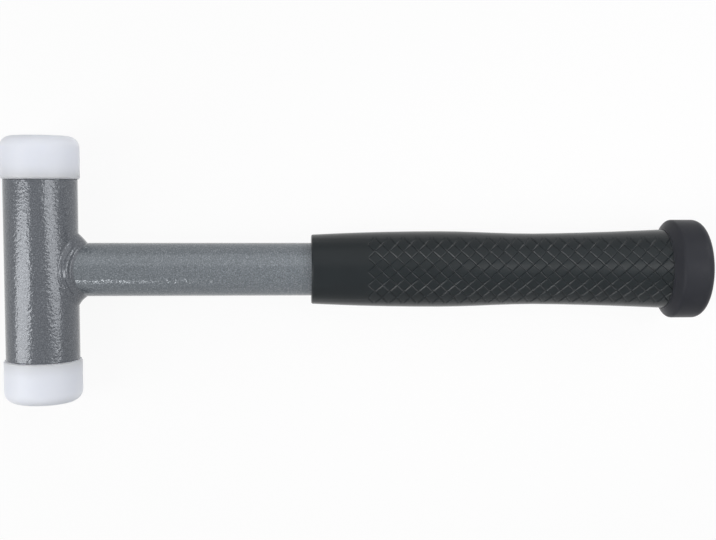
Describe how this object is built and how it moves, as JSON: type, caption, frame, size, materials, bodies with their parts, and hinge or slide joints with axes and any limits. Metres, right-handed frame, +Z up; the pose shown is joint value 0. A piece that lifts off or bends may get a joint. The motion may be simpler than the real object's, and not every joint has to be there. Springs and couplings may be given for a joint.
{
  "type": "soft face hammer",
  "caption": "Recoil-free soft face hammer: tube head filled with loose shot, push-in nylon faces, welded tube handle, diamond-grooved rubber grip and a flared butt cap.",
  "frame": {"origin": "centre of the bounding box, on the ground that the hammer lies on", "axes": "+X along the handle from the head to the butt, +Y along the head towards the front face, +Z up"},
  "size_m": [0.332, 0.124, 0.0475],
  "materials": {
    "hammertone_paint": "grey hammertone enamel on steel tube",
    "nylon": "milky white nylon, moulded, slightly translucent",
    "cup_steel": "bare pressed sheet steel",
    "shot_steel": "bare steel balls",
    "grip_rubber": "black moulded rubber with a diamond groove pattern",
    "cap_rubber": "black moulded rubber, smooth"
  },
  "bodies": {
    "hammer": {"head_tube": "hammertone_paint", "weld_bead": "hammertone_paint", "handle_tube": "hammertone_paint", "front_shot_cup": "cup_steel", "back_shot_cup": "cup_steel", "grip_sleeve": "grip_rubber", "butt_cap": "cap_rubber"},
    "front_insert": {"front_face": "nylon"},
    "back_insert": {"back_face": "nylon"},
    "shot_charge": {"steel_shot": "shot_steel"}
  },
  "joints": [
    {"name": "front_face_pull", "type": "slide", "parent": "hammer", "child": "front_insert", "axis": [0, 1, 0], "range_m": [0, 0.014]},
    {"name": "back_face_pull", "type": "slide", "parent": "hammer", "child": "back_insert", "axis": [0, -1, 0], "range_m": [0, 0.014]},
    {"name": "shot_slide", "type": "slide", "parent": "hammer", "child": "shot_charge", "axis": [0, 1, 0], "range_m": [-0.0048, 0.0048]}
  ]
}
